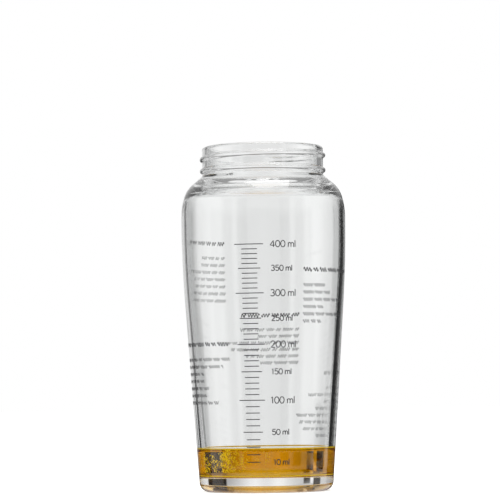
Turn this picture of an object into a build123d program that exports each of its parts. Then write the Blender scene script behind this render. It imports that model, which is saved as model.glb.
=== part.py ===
from build123d import *
import math
import os

# Glass shaker bottle for salad dressing, with its screw lid set down beside it.
# Millimetres, +Z up. The origin is on the bottle's axis, in the plane that it stands on.

# Glass bottle, outside
bottle_height = 170.0
belly_radius = 40.6
belly_drop = 56.2
belly_bend_share = 0.75
foot_radius = 32.75
heel_fillet = 4.8
foot_ring_width = 2.6
push_up_height = 4.0

# Shoulder, counted down from the rim and in from the belly
shoulder_top_drop = 14.4
shoulder_bend_drop = 21.2
shoulder_end_drop = 29.8
shoulder_bend_inset = 2.55
shoulder_top_fillet = 1.4
shoulder_bend_share = 0.43
shoulder_end_share = 0.56

# Glass bottle, inside
base_wall = 3.3
belly_wall = 2.5
floor_height = 7.5
floor_crown = 4.5
floor_fillet = 6.0
ceiling_drop = 19.6
ceiling_fall = 3.2
ceiling_bend_share = 0.52
mouth_edge_share = 0.16

# Neck finish, a single turn of round thread over a plain ring
neck_radius = 30.0
neck_wall = 3.0
lip_fillet = 1.45
bead_radius = 1.25
bead_sink = 0.05
thread_pitch = 3.4
thread_turns = 1.0
thread_drop = 5.25
ring_drop = 11.8

# Lid, moulded cap
lid_distance = 155.0
thread_clearance = 0.4
thread_play = 0.1
cap_thread_turns = 0.85
skirt_wall = 2.6
deck_thickness = 2.2
shoulder_clearance = 0.9
deck_edge_fillet = 3.0

# Lid, steel sleeve let into the skirt between a fluted grip band and the deck
sleeve_thickness = 0.5
sleeve_clearance = 0.05
sleeve_height = 8.6
sleeve_edge_fillet = 0.2
grip_band_height = 4.6
grip_band_proud = 0.9
grip_band_fillet = 0.6
flute_count = 40
flute_radius = 1.6
flute_depth = 0.5
flute_end_margin = 0.9

# Lid, gasket
gasket_thickness = 1.6
gasket_clearance = 0.25
gasket_lip_overlap = 0.8

# Lid, pouring spout
spout_inset = 12.5
spout_bore = 6.6
spout_wall = 1.5
spout_rise = 7.0
spout_flange_width = 2.2
spout_flange_thickness = 1.3
spout_tail = 1.2
spout_lip_flare = 1.3
spout_fit_clearance = 0.1

# Lid, flap with its plug, pin and ears
flap_clearance = 0.4
flap_thickness = 3.0
flap_margin = 3.0
flap_edge_fillet = 1.2
thumb_tab_reach = 4.5
thumb_tab_width = 13.0
hinge_offset = 9.5
hinge_height = 5.4
knuckle_radius = 3.1
knuckle_width = 15.0
ear_thickness = 2.6
ear_gap = 0.4
pin_radius = 1.2
pin_clearance = 0.05
pin_head_overrun = 0.4
plug_depth = 3.6
plug_clearance = 0.35
plug_taper = 0.45

# One overrun serves all cuts
cut_overrun = 1.0

bore_radius = neck_radius - neck_wall
belly_height = bottle_height - belly_drop


def bottle_outer_radius(height):
    """Radius of the straight, leaning wall at a height."""
    return foot_radius + (belly_radius - foot_radius) * height / belly_height


def corner_fillet(before, corner, after, reach):
    """Radius of the fillet that starts at a given reach from the corner of an outline."""
    arriving = Vector(*corner) - Vector(*before)
    leaving = Vector(*after) - Vector(*corner)
    return reach / math.tan(math.radians(arriving.get_angle(leaving)) / 2)


def outer_wall():
    """Outside of the glass from the foot ring to the rim, as corners and their fillets."""
    foot_inner = (foot_radius - heel_fillet - foot_ring_width, 0)
    foot = (foot_radius, 0)
    belly = (belly_radius, belly_height)
    shoulder_end = (belly_radius, bottle_height - shoulder_end_drop)
    bend = (belly_radius - shoulder_bend_inset, bottle_height - shoulder_bend_drop)
    neck_root = (neck_radius, bottle_height - shoulder_top_drop)
    rim = (neck_radius, bottle_height)
    belly_reach = belly_bend_share * math.dist(belly, shoulder_end)
    shoulder_length = math.dist(shoulder_end, bend)
    fillets = [
        heel_fillet,
        corner_fillet(foot, belly, shoulder_end, belly_reach),
        corner_fillet(belly, shoulder_end, bend, shoulder_end_share * shoulder_length),
        corner_fillet(shoulder_end, bend, neck_root, shoulder_bend_share * shoulder_length),
        shoulder_top_fillet,
        lip_fillet,
    ]
    return [foot_inner, foot, belly, shoulder_end, bend, neck_root, rim], fillets


def inner_wall():
    """Inside of the glass from the rim to the floor, as corners and their fillets."""
    rim = (bore_radius, bottle_height)
    mouth = (bore_radius, bottle_height - ceiling_drop)
    ceiling = (belly_radius - belly_wall, bottle_height - ceiling_drop - ceiling_fall)
    belly = (belly_radius - belly_wall, belly_height)
    floor_edge = (bottle_outer_radius(floor_height) - base_wall, floor_height)
    floor_start = (floor_edge[0] - floor_fillet, floor_height)
    ceiling_length = math.dist(mouth, ceiling)
    belly_reach = belly_bend_share * (bottle_height - shoulder_end_drop - belly_height)
    fillets = [
        lip_fillet,
        corner_fillet(rim, mouth, ceiling, mouth_edge_share * ceiling_length),
        corner_fillet(mouth, ceiling, belly, ceiling_bend_share * ceiling_length),
        corner_fillet(ceiling, belly, floor_edge, belly_reach),
        floor_fillet,
    ]
    return [rim, mouth, ceiling, belly, floor_edge, floor_start], fillets


def bottle_outline():
    """Right half of the glass in section, walked round from the push-up's edge."""
    outer_corners, outer_fillets = outer_wall()
    inner_corners, inner_fillets = inner_wall()
    wall = FilletPolyline(*outer_corners, *inner_corners, radius=outer_fillets + inner_fillets)
    start, end = wall @ 0, wall @ 1
    crown = ThreePointArc(
        end,
        arc_middle(end.X, floor_height, floor_crown),
        (0, floor_height + floor_crown),
    )
    push_up = ThreePointArc(
        (0, push_up_height),
        arc_middle(start.X, 0, push_up_height),
        start,
    )
    axis_edge = Line((0, floor_height + floor_crown), (0, push_up_height))
    return make_face([wall, crown, axis_edge, push_up])


def arc_middle(reach, base, rise):
    """Middle point of the arc that climbs from (reach, base) to a level top on the axis."""
    radius = (reach**2 + rise**2) / (2 * rise)
    half_way = reach / 2
    return (half_way, base + rise - radius + math.sqrt(radius**2 - half_way**2))


def thread_bead(path_radius, turns, middle_height):
    """A round bead that climbs round the axis, with round ends, centred on the front."""
    climb = thread_pitch * turns
    path = Helix(thread_pitch, climb, path_radius)
    section = Plane(origin=path @ 0, z_dir=path % 0) * Circle(bead_radius)
    bead = sweep(section, path=path, is_frenet=True)
    for end in (path @ 0, path @ 1):
        bead += Pos(end.X, end.Y, end.Z) * Sphere(bead_radius)
    front_angle = -90 - 360 * turns / 2
    return Pos(0, 0, middle_height - climb / 2) * Rot(0, 0, front_angle) * bead


def glass_bottle():
    """The pressed glass, with its thread and ring fused to the neck."""
    glass = revolve(Plane.XZ * bottle_outline(), Axis.Z)
    ring_height = bottle_height - ring_drop
    ring = Pos(0, 0, ring_height) * Torus(neck_radius - bead_sink, bead_radius)
    thread = thread_bead(neck_path_radius, thread_turns, bottle_height - thread_drop)
    return glass + ring + thread


# Heights in the lid are counted up from the skirt's lower edge, which rests on the table.
neck_path_radius = neck_radius - bead_sink
skirt_bore = neck_path_radius + bead_radius + thread_clearance
cap_path_radius = skirt_bore + bead_sink
skirt_radius = skirt_bore + skirt_wall
spout_offset = bore_radius - spout_inset
sleeve_bottom = grip_band_height + sleeve_clearance
sleeve_top = sleeve_bottom + sleeve_height
gasket_seat = shoulder_top_drop - shoulder_clearance + gasket_thickness
deck_top = gasket_seat + deck_thickness
spout_top = deck_top + spout_flange_thickness + spout_rise
hinge_z = deck_top + hinge_height
flap_bottom = spout_top + flap_clearance
flap_top = flap_bottom + flap_thickness
ear_centre = (knuckle_width + ear_thickness) / 2 + ear_gap
lid_place = Pos(lid_distance, 0, 0)


def seated_thread_offset():
    """How far below the neck's bead the cap's bead lies when it pulls up against it."""
    between_paths = cap_path_radius - neck_path_radius
    return math.sqrt((2 * bead_radius) ** 2 - between_paths**2) + thread_play


def flutes():
    """Cutters for the upright flutes round the grip band."""
    height = grip_band_height - 2 * flute_end_margin
    cutter = Pos(0, 0, grip_band_height / 2) * Cylinder(flute_radius, height)
    reach = skirt_radius + grip_band_proud + flute_radius - flute_depth
    return [place * cutter for place in PolarLocations(reach, flute_count)]


def hinge_ear():
    """One upright ear, rounded over the pin."""
    plate = Plane.YZ * make_face(
        [
            Line((hinge_offset - knuckle_radius, deck_top), (hinge_offset + knuckle_radius, deck_top)),
            Line((hinge_offset + knuckle_radius, deck_top), (hinge_offset + knuckle_radius, hinge_z)),
            ThreePointArc(
                (hinge_offset + knuckle_radius, hinge_z),
                (hinge_offset, hinge_z + knuckle_radius),
                (hinge_offset - knuckle_radius, hinge_z),
            ),
            Line((hinge_offset - knuckle_radius, hinge_z), (hinge_offset - knuckle_radius, deck_top)),
        ]
    )
    return extrude(plate, ear_thickness / 2, both=True)


def screw_cap():
    """The moulded cap: skirt, deck, thread, spout hole, hinge ears and a seat for the sleeve."""
    recess_radius = skirt_radius - sleeve_thickness - sleeve_clearance
    recess_top = sleeve_top + sleeve_clearance
    grip_band_radius = skirt_radius + grip_band_proud
    section = FilletPolyline(
        (0, gasket_seat),
        (skirt_bore, gasket_seat),
        (skirt_bore, 0),
        (grip_band_radius, 0),
        (grip_band_radius, grip_band_height),
        (recess_radius, grip_band_height),
        (recess_radius, recess_top),
        (skirt_radius, recess_top),
        (skirt_radius, deck_top),
        (0, deck_top),
        radius=[0, 0, grip_band_fillet, grip_band_fillet, 0, 0, 0, deck_edge_fillet],
    )
    axis_edge = Line((0, deck_top), (0, gasket_seat))
    cap = revolve(Plane.XZ * make_face([section, axis_edge]), Axis.Z)
    cap -= flutes()
    spout_hole = Cylinder(
        spout_bore + spout_wall + spout_fit_clearance, deck_thickness + 2 * cut_overrun
    )
    cap -= Pos(0, -spout_offset, gasket_seat + deck_thickness / 2) * spout_hole
    for side in (-1, 1):
        cap += Pos(side * ear_centre, 0, 0) * hinge_ear()
    pin_hole = Rot(0, 90, 0) * Cylinder(pin_radius + pin_clearance, 4 * ear_centre)
    cap -= Pos(0, hinge_offset, hinge_z) * pin_hole
    thread_height = gasket_seat - gasket_thickness - thread_drop - seated_thread_offset()
    cap += thread_bead(cap_path_radius, cap_thread_turns, thread_height)
    return lid_place * cap


def cap_sleeve():
    """Thin steel band round the skirt, held between the grip band and the deck's edge."""
    inner = skirt_radius - sleeve_thickness
    band = Cylinder(skirt_radius, sleeve_height) - Cylinder(inner, sleeve_height)
    outer_edges = band.faces().sort_by(lambda face: face.area)[-1].edges().filter_by(GeomType.CIRCLE)
    band = fillet(outer_edges, sleeve_edge_fillet)
    return lid_place * Pos(0, 0, (sleeve_bottom + sleeve_top) / 2) * band


def cap_gasket():
    """Flat ring that the glass rim presses on."""
    inner = bore_radius - gasket_lip_overlap
    outer = skirt_bore - gasket_clearance
    ring = Cylinder(outer, gasket_thickness) - Cylinder(inner, gasket_thickness)
    ring = fillet(ring.edges().group_by(Axis.Z)[0], gasket_thickness / 4)
    return lid_place * Pos(0, 0, gasket_seat - gasket_thickness / 2) * ring


def pour_spout():
    """Short pouring tube with a flange on the deck, a tail through it and a lip."""
    outer = spout_bore + spout_wall
    flange_top = deck_top + spout_flange_thickness
    section = FilletPolyline(
        (spout_bore, gasket_seat - spout_tail),
        (outer, gasket_seat - spout_tail),
        (outer, deck_top),
        (outer + spout_flange_width, deck_top),
        (outer + spout_flange_width, flange_top),
        (outer, flange_top),
        (outer, spout_top - spout_rise / 3),
        (outer + spout_lip_flare, spout_top),
        (spout_bore, spout_top),
        radius=[0, 0, 0, spout_flange_thickness / 2, spout_wall / 2, spout_rise / 3, 0],
    )
    bore_edge = Line((spout_bore, spout_top), (spout_bore, gasket_seat - spout_tail))
    spout = revolve(Plane.XZ * make_face([section, bore_edge]), Axis.Z)
    return lid_place * Pos(0, -spout_offset, 0) * spout


def flip_lid():
    """The flap: a lid plate over the spout, an arm back to the knuckle, a thumb tab."""
    pad_radius = spout_bore + spout_wall + spout_lip_flare + flap_margin
    pad = Pos(0, -spout_offset, 0) * Circle(pad_radius)
    tab_end = -spout_offset - pad_radius - thumb_tab_reach + thumb_tab_width / 2
    tab = Pos(0, tab_end, 0) * Circle(thumb_tab_width / 2)
    knuckle_front = hinge_offset - knuckle_radius
    shank = Rectangle(knuckle_width, knuckle_radius, align=(Align.CENTER, Align.MAX))
    arm_end = Pos(0, hinge_offset, 0) * Rectangle(knuckle_width, 2 * knuckle_radius)
    outline = make_hull(pad.edges() + tab.edges() + (Pos(0, knuckle_front, 0) * shank).edges())
    outline += arm_end
    plate = Pos(0, 0, flap_bottom) * extrude(outline, flap_thickness)
    plate = fillet(plate.edges().group_by(Axis.Z)[-1], flap_edge_fillet)
    knuckle = Rot(0, 90, 0) * Cylinder(knuckle_radius, knuckle_width)
    riser_height = flap_bottom - hinge_z
    riser = Pos(0, 0, riser_height / 2) * Box(knuckle_width, 2 * knuckle_radius, riser_height)
    hinge = Pos(0, hinge_offset, hinge_z)
    lid = plate + hinge * (knuckle + riser)
    bore = Rot(0, 90, 0) * Cylinder(pin_radius + pin_clearance, knuckle_width + 2 * cut_overrun)
    return lid_place * (lid - hinge * bore)


def flip_plug():
    """Soft stopper under the flap, tapered to enter the spout."""
    top_radius = spout_bore - plug_clearance
    section = FilletPolyline(
        (0, flap_bottom - plug_depth),
        (top_radius - plug_taper, flap_bottom - plug_depth),
        (top_radius, flap_bottom),
        (0, flap_bottom),
        radius=[plug_clearance, 0],
    )
    axis_edge = Line((0, flap_bottom), (0, flap_bottom - plug_depth))
    plug = revolve(Plane.XZ * make_face([section, axis_edge]), Axis.Z)
    return lid_place * Pos(0, -spout_offset, 0) * plug


def hinge_pin():
    """Steel pin through both ears and the knuckle."""
    length = 2 * ear_centre + ear_thickness + 2 * pin_head_overrun
    pin = Rot(0, 90, 0) * Cylinder(pin_radius, length)
    return lid_place * Pos(0, hinge_offset, hinge_z) * pin


parts = {
    "glass_bottle": glass_bottle,
    "screw_cap": screw_cap,
    "cap_sleeve": cap_sleeve,
    "cap_gasket": cap_gasket,
    "pour_spout": pour_spout,
    "flip_lid": flip_lid,
    "flip_plug": flip_plug,
    "hinge_pin": hinge_pin,
}

os.makedirs("parts", exist_ok=True)
for name, make in parts.items():
    export_step(make(), f"parts/{name}.step")
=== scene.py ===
"""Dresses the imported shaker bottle: pressed glass, printed volume scale, oil and lid."""
import logging
import math
import random
from collections.abc import Callable, Iterable
from dataclasses import dataclass, field
from enum import Enum

import bpy
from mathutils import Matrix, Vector


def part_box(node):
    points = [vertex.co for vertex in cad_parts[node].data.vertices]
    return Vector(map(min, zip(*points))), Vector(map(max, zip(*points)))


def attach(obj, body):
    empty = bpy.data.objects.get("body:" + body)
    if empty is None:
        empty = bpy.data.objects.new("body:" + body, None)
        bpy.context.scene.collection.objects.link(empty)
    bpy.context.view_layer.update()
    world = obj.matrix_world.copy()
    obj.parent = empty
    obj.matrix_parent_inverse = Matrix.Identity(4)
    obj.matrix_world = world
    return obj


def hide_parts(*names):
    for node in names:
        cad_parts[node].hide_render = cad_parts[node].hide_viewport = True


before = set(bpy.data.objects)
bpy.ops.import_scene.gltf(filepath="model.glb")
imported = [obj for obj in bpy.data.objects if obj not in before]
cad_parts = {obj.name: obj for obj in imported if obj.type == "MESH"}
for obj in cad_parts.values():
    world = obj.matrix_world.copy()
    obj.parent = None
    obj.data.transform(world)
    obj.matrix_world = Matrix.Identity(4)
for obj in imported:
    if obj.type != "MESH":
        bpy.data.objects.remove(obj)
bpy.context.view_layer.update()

LOG = logging.getLogger("bottle")

Point = tuple[float, float]
Triple = tuple[float, float, float]
Color = tuple[float, float, float, float]
Face = tuple[int, ...]

WHITE: Color = (1.0, 1.0, 1.0, 1.0)
BLACK: Color = (0.0, 0.0, 0.0, 1.0)

# Most of a noise's values lie in this range, and a roughness spans it from end to end
TONES: Point = (0.3, 0.7)


class Body(Enum):
    """The rigid bodies that pieces ride on."""

    BOTTLE = "bottle"
    LID = "lid"
    FLAP = "flap"


class Slot(Enum):
    """Names of the record's material slots."""

    GLASS = "clear_glass"
    PRINT = "scale_print"
    OIL = "olive_oil"


def millimetres(value: float) -> float:
    """Turns millimetres into the scene's metres."""
    return value / 1000


def lifted(low: float, high: float, value: float) -> float:
    """Smooth step from 0 at low to 1 at high."""
    share = min(max((value - low) / (high - low), 0.0), 1.0)
    return share * share * (3 - 2 * share)


# Shader graphs


@dataclass
class Graph:
    """A node tree that is being built."""

    tree: bpy.types.NodeTree

    def node(
        self, kind: str, inputs: dict[str | int, object] | None = None, **settings: object
    ) -> bpy.types.Node:
        """Adds a node.

        Args:
            kind: The node's type name in Blender.
            inputs: Socket name or index to a value, or to the socket that feeds it.
            settings: Attributes to set on the node.

        Returns:
            The new node.
        """
        node = self.tree.nodes.new(kind)
        for name, value in settings.items():
            setattr(node, name, value)
        for name, value in (inputs or {}).items():
            self.feed(node.inputs[name], value)
        return node

    def feed(self, socket: bpy.types.NodeSocket, value: object) -> None:
        """Joins a socket to another, or sets its value.

        Args:
            socket: The input to feed.
            value: The output that feeds it, or a plain value.
        """
        if isinstance(value, bpy.types.NodeSocket):
            self.tree.links.new(value, socket)
        else:
            socket.default_value = value

    def math(self, operation: str, first: object, second: object = 0.0) -> bpy.types.NodeSocket:
        """Adds a Math node and returns its result."""
        return self.node("ShaderNodeMath", {0: first, 1: second}, operation=operation).outputs[0]

    def mix(self, factor: object, first: object, second: object) -> bpy.types.NodeSocket:
        """Mixes two colours by a factor and returns the colour."""
        node = self.node("ShaderNodeMix", {0: factor, 6: first, 7: second}, data_type="RGBA")
        return node.outputs[2]

    def blend(self, factor: object, first: object, second: object) -> bpy.types.NodeSocket:
        """Mixes two values by a factor and returns the value."""
        node = self.node("ShaderNodeMix", {0: factor, 2: first, 3: second}, data_type="FLOAT")
        return node.outputs[0]

    def span(
        self, value: object, old: Point, new: Point, smooth: bool = False
    ) -> bpy.types.NodeSocket:
        """Maps a value from one range to another.

        Args:
            value: The value, or the socket that gives it.
            old: The range that it comes from.
            new: The range that it goes to.
            smooth: Whether the step between the ends is smooth.

        Returns:
            The mapped value's socket.
        """
        inputs = {0: value, 1: old[0], 2: old[1], 3: new[0], 4: new[1]}
        kind = "SMOOTHSTEP" if smooth else "LINEAR"
        return self.node("ShaderNodeMapRange", inputs, interpolation_type=kind).outputs[0]

    def ramp(self, share: bpy.types.NodeSocket, stops: Iterable[Point]) -> bpy.types.NodeSocket:
        """Reads a grey from stops.

        Args:
            share: What is looked up, from 0 to 1.
            stops: Places from 0 to 1, in order, and the grey at each.

        Returns:
            The grey.
        """
        node = self.node("ShaderNodeValToRGB", {0: share})
        elements = node.color_ramp.elements
        ready = len(elements)
        for number, (place, level) in enumerate(stops):
            element = elements[number] if number < ready else elements.new(place)
            element.position = place
            element.color = (level, level, level, 1)
        return node.outputs[0]

    def bump(self, height: bpy.types.NodeSocket, depth: float) -> bpy.types.NodeSocket:
        """Adds a bump of a depth in metres and returns its normal."""
        inputs = {"Strength": 1.0, "Distance": depth, "Height": height}
        return self.node("ShaderNodeBump", inputs).outputs[0]


def new_group(name: str, inputs: dict[str, object], outputs: Iterable[str]) -> Graph:
    """Starts a shader group.

    Args:
        name: The group's name.
        inputs: Input name to its default, a number or a vector.
        outputs: Names of the outputs, all of them values.

    Returns:
        The group's graph, with its input and output nodes in place.
    """
    tree = bpy.data.node_groups.new(name, "ShaderNodeTree")
    for label, default in inputs.items():
        kind = "NodeSocketFloat" if isinstance(default, float) else "NodeSocketVector"
        socket = tree.interface.new_socket(label, in_out="INPUT", socket_type=kind)
        socket.default_value = default
    for label in outputs:
        tree.interface.new_socket(label, in_out="OUTPUT", socket_type="NodeSocketFloat")
    tree.nodes.new("NodeGroupInput")
    tree.nodes.new("NodeGroupOutput")
    return Graph(tree)


@dataclass
class Effects:
    """The shader groups that several finishes share, each built once.

    The sizes are what a group takes where a finish gives none: the grain's pebbles and slow
    clouds, the steel's stretch across and along its lines, and the patches of the marks.
    """

    cell: float = millimetres(0.4)
    cloud: float = millimetres(20)
    stretch: Triple = (40.0, 40.0, 9000.0)
    broad_share: float = 0.13
    patch: float = millimetres(30)
    cover: float = 0.5
    mark_edge: float = 0.25
    grain: bpy.types.NodeTree = field(init=False)
    brushing: bpy.types.NodeTree = field(init=False)
    marks: bpy.types.NodeTree = field(init=False)

    def __post_init__(self) -> None:
        """Builds the groups."""
        self.grain = self.build_grain()
        self.brushing = self.build_brushing()
        self.marks = self.build_marks()

    def build_grain(self) -> bpy.types.NodeTree:
        """Fine pebbled grain of moulded plastic and soft rubber.

        Returns:
            A group with a Height for bump and a slow Tone, both from 0 to 1.
        """
        inputs = {"Cell": self.cell, "Cloud": self.cloud}
        graph = new_group("moulded_grain", inputs, ("Height", "Tone"))
        source, sink = graph.tree.nodes["Group Input"], graph.tree.nodes["Group Output"]
        place = graph.node("ShaderNodeTexCoord").outputs["Object"]
        cells = graph.node(
            "ShaderNodeTexVoronoi",
            {"Vector": place, "Scale": graph.math("DIVIDE", 1.0, source.outputs["Cell"])},
            feature="SMOOTH_F1",
        )
        clouds = graph.node(
            "ShaderNodeTexNoise",
            {
                "Vector": place,
                "Scale": graph.math("DIVIDE", 1.0, source.outputs["Cloud"]),
                "Detail": 4.0,
            },
        )
        graph.feed(sink.inputs["Height"], cells.outputs["Distance"])
        graph.feed(sink.inputs["Tone"], clouds.outputs["Fac"])
        return graph.tree

    def build_brushing(self) -> bpy.types.NodeTree:
        """Fine scratches of brushed or ground steel.

        Returns:
            A group whose Stretch vector is large across the scratches and small along them.
        """
        graph = new_group("brushed_lines", {"Stretch": self.stretch}, ("Height", "Tone"))
        source, sink = graph.tree.nodes["Group Input"], graph.tree.nodes["Group Output"]
        place = graph.node("ShaderNodeTexCoord").outputs["Object"]
        drawn = graph.node(
            "ShaderNodeVectorMath",
            {0: place, 1: source.outputs["Stretch"]},
            operation="MULTIPLY",
        )
        fine = graph.node(
            "ShaderNodeTexNoise", {"Vector": drawn.outputs[0], "Scale": 1.0, "Detail": 5.0}
        )
        broad = graph.node(
            "ShaderNodeTexNoise",
            {"Vector": drawn.outputs[0], "Scale": self.broad_share, "Detail": 2.0},
        )
        graph.feed(sink.inputs["Height"], fine.outputs["Fac"])
        graph.feed(sink.inputs["Tone"], broad.outputs["Fac"])
        return graph.tree

    def build_marks(self) -> bpy.types.NodeTree:
        """Faint wiped haze and handling marks.

        Returns:
            A group with a Mask from 0, clean, to 1, marked.
        """
        inputs = {"Patch": self.patch, "Cover": self.cover}
        graph = new_group("handling_marks", inputs, ("Mask",))
        source, sink = graph.tree.nodes["Group Input"], graph.tree.nodes["Group Output"]
        place = graph.node("ShaderNodeTexCoord").outputs["Object"]
        patches = graph.node(
            "ShaderNodeTexNoise",
            {
                "Vector": place,
                "Scale": graph.math("DIVIDE", 1.0, source.outputs["Patch"]),
                "Detail": 6.0,
                "Roughness": 0.6,
            },
        )
        low = graph.math("SUBTRACT", 1.0, source.outputs["Cover"])
        over = graph.math("SUBTRACT", patches.outputs["Fac"], low)
        mask = graph.span(over, (0.0, self.mark_edge), (0.0, 1.0), smooth=True)
        graph.feed(sink.inputs["Mask"], mask)
        return graph.tree


class Finish:
    """A material in the making: its graph and its Principled shader."""

    def __init__(self, name: str) -> None:
        """Starts an empty material with a Principled shader.

        Args:
            name: The material's name.
        """
        self.material = bpy.data.materials.new(name)
        self.material.use_nodes = True
        self.material.node_tree.nodes.clear()
        self.graph = Graph(self.material.node_tree)
        self.shader = self.graph.node("ShaderNodeBsdfPrincipled")
        self.output = self.graph.node("ShaderNodeOutputMaterial")
        self.graph.feed(self.output.inputs["Surface"], self.shader.outputs[0])

    def set(self, **values: object) -> None:
        """Sets or joins the shader's sockets; a name's underscores stand for spaces."""
        for name, value in values.items():
            self.graph.feed(self.shader.inputs[name.replace("_", " ")], value)

    def absorb(self, color: Color, density: float) -> None:
        """Fills the piece with a clear medium that deepens in colour with its depth.

        Args:
            color: The colour that the medium tends to.
            density: How fast it does so, by the metre.
        """
        inputs = {"Color": color, "Density": density}
        medium = self.graph.node("ShaderNodeVolumeAbsorption", inputs).outputs[0]
        self.graph.feed(self.output.inputs["Volume"], medium)

    def effect(self, tree: bpy.types.NodeTree, **inputs: object) -> bpy.types.Node:
        """Places a shared effect with its own values.

        Args:
            tree: The shader group.
            inputs: Input name to its value; the rest keep the group's own.

        Returns:
            The group's node.
        """
        node = self.graph.node("ShaderNodeGroup", node_tree=tree)
        for name, value in inputs.items():
            self.graph.feed(node.inputs[name], value)
        return node


# Finishes


@dataclass(frozen=True)
class ClearGlass:
    """Pressed clear glass, with painted shade that greys it a little at its edges."""

    ior: float = 1.52
    body: Color = (0.982, 0.988, 0.986, 1.0)
    # The colour of the painted shade that the glass greys to where it is seen at a slant
    edge_shade: Color = (0.78, 0.79, 0.79, 1.0)
    edge_shade_span: Point = (0.4, 0.9)
    roughness: Point = (0.0, 0.012)
    haze_patch: float = millimetres(35)
    haze_cover: float = 0.42
    ripple_length: float = millimetres(14)
    ripple_depth: float = millimetres(0.0015)

    def build(self, effects: Effects) -> bpy.types.Material:
        """Makes the material.

        Args:
            effects: The shared shader groups.

        Returns:
            The glass.
        """
        finish = Finish("clear_pressed_glass")
        graph = finish.graph
        # Painted shade: the colour greys where the surface turns away from the view, giving the
        # glass dark outlines
        facing = graph.node("ShaderNodeLayerWeight").outputs["Facing"]
        edge_shade = graph.span(facing, self.edge_shade_span, (0.0, 1.0), smooth=True)
        haze = finish.effect(effects.marks, Patch=self.haze_patch, Cover=self.haze_cover)
        ripples = finish.effect(effects.grain, Cloud=self.ripple_length)
        finish.set(
            Base_Color=graph.mix(edge_shade, self.body, self.edge_shade),
            Roughness=graph.span(haze.outputs["Mask"], (0.0, 1.0), self.roughness),
            IOR=self.ior,
            Transmission_Weight=1.0,
            Normal=graph.bump(ripples.outputs["Tone"], self.ripple_depth),
        )
        return finish.material


@dataclass(frozen=True)
class AmberOil:
    """Clear olive oil, pale where it is thin and amber where it is deep."""

    ior: float = 1.47
    pale: Color = (0.84, 0.5, 0.008, 1.0)
    deep: Color = (0.8, 0.46, 0.005, 1.0)
    medium: Color = (0.92, 0.76, 0.0, 1.0)
    density: float = 36.0
    cloud: float = millimetres(30)
    roughness: Point = (0.0, 0.01)

    def build(self, effects: Effects) -> bpy.types.Material:
        """Makes the material.

        Args:
            effects: The shared shader groups.

        Returns:
            The oil.
        """
        finish = Finish("amber_oil")
        clouds = finish.effect(effects.grain, Cloud=self.cloud).outputs["Tone"]
        finish.set(
            Base_Color=finish.graph.mix(clouds, self.pale, self.deep),
            Roughness=finish.graph.span(clouds, (0.0, 1.0), self.roughness),
            IOR=self.ior,
            Transmission_Weight=1.0,
        )
        finish.absorb(self.medium, self.density)
        return finish.material


@dataclass(frozen=True)
class OilFroth:
    """Fine froth in the oil: pale yellow and slightly glossy, made bright by a painted glow."""

    color: Color = (0.93, 0.66, 0.02, 1.0)
    tint: Color = (0.85, 0.55, 0.01, 1.0)
    cloud: float = millimetres(2)
    roughness: Point = (0.25, 0.45)
    shine: float = 0.2
    glow: float = 0.3

    def build(self, effects: Effects) -> bpy.types.Material:
        """Makes the material.

        Args:
            effects: The shared shader groups.

        Returns:
            The froth.
        """
        finish = Finish("oil_froth")
        clouds = finish.effect(effects.grain, Cloud=self.cloud).outputs["Tone"]
        finish.set(
            Base_Color=finish.graph.mix(clouds, self.color, self.tint),
            Roughness=finish.graph.span(clouds, TONES, self.roughness),
            Specular_IOR_Level=self.shine,
            # Painted light: the froth glows in its own colour
            Emission_Color=self.color,
            Emission_Strength=self.glow,
        )
        return finish.material


@dataclass(frozen=True)
class FiredPrint:
    """Screen print fired on the glass, a little thin in places."""

    dark: Color = (0.035, 0.035, 0.038, 1.0)
    thin: Color = (0.07, 0.07, 0.075, 1.0)
    wear_patch: float = millimetres(1.5)
    wear_cover: float = 0.5
    cell: float = millimetres(0.15)
    cloud: float = millimetres(4)
    depth: float = millimetres(0.01)
    roughness: Point = (0.45, 0.6)

    def build(self, effects: Effects) -> bpy.types.Material:
        """Makes the material.

        Args:
            effects: The shared shader groups.

        Returns:
            The print.
        """
        finish = Finish("scale_ink")
        graph = finish.graph
        wear = finish.effect(effects.marks, Patch=self.wear_patch, Cover=self.wear_cover)
        grain = finish.effect(effects.grain, Cell=self.cell, Cloud=self.cloud)
        finish.set(
            Base_Color=graph.mix(wear.outputs["Mask"], self.dark, self.thin),
            Roughness=graph.span(grain.outputs["Tone"], TONES, self.roughness),
            Normal=graph.bump(grain.outputs["Height"], self.depth),
        )
        return finish.material


@dataclass(frozen=True)
class MouldedPlastic:
    """Dark moulded plastic, grained or smooth, rubbed glossier where it is handled."""

    name: str
    color: Color
    tint: Color
    cell: float
    depth: float
    roughness: float
    cloud: float = millimetres(12)
    rub_patch: float = millimetres(9)
    rub_cover: float = 0.45
    rub_gloss: float = 0.12
    shine: float = 0.45

    def build(self, effects: Effects) -> bpy.types.Material:
        """Makes the material.

        Args:
            effects: The shared shader groups.

        Returns:
            The plastic.
        """
        finish = Finish(self.name)
        graph = finish.graph
        grain = finish.effect(effects.grain, Cell=self.cell, Cloud=self.cloud)
        rubbed = finish.effect(effects.marks, Patch=self.rub_patch, Cover=self.rub_cover)
        roughness = (self.roughness, self.roughness - self.rub_gloss)
        finish.set(
            Base_Color=graph.mix(grain.outputs["Tone"], self.color, self.tint),
            Roughness=graph.span(rubbed.outputs["Mask"], (0.0, 1.0), roughness),
            Specular_IOR_Level=self.shine,
            Normal=graph.bump(grain.outputs["Height"], self.depth),
        )
        return finish.material


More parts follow.
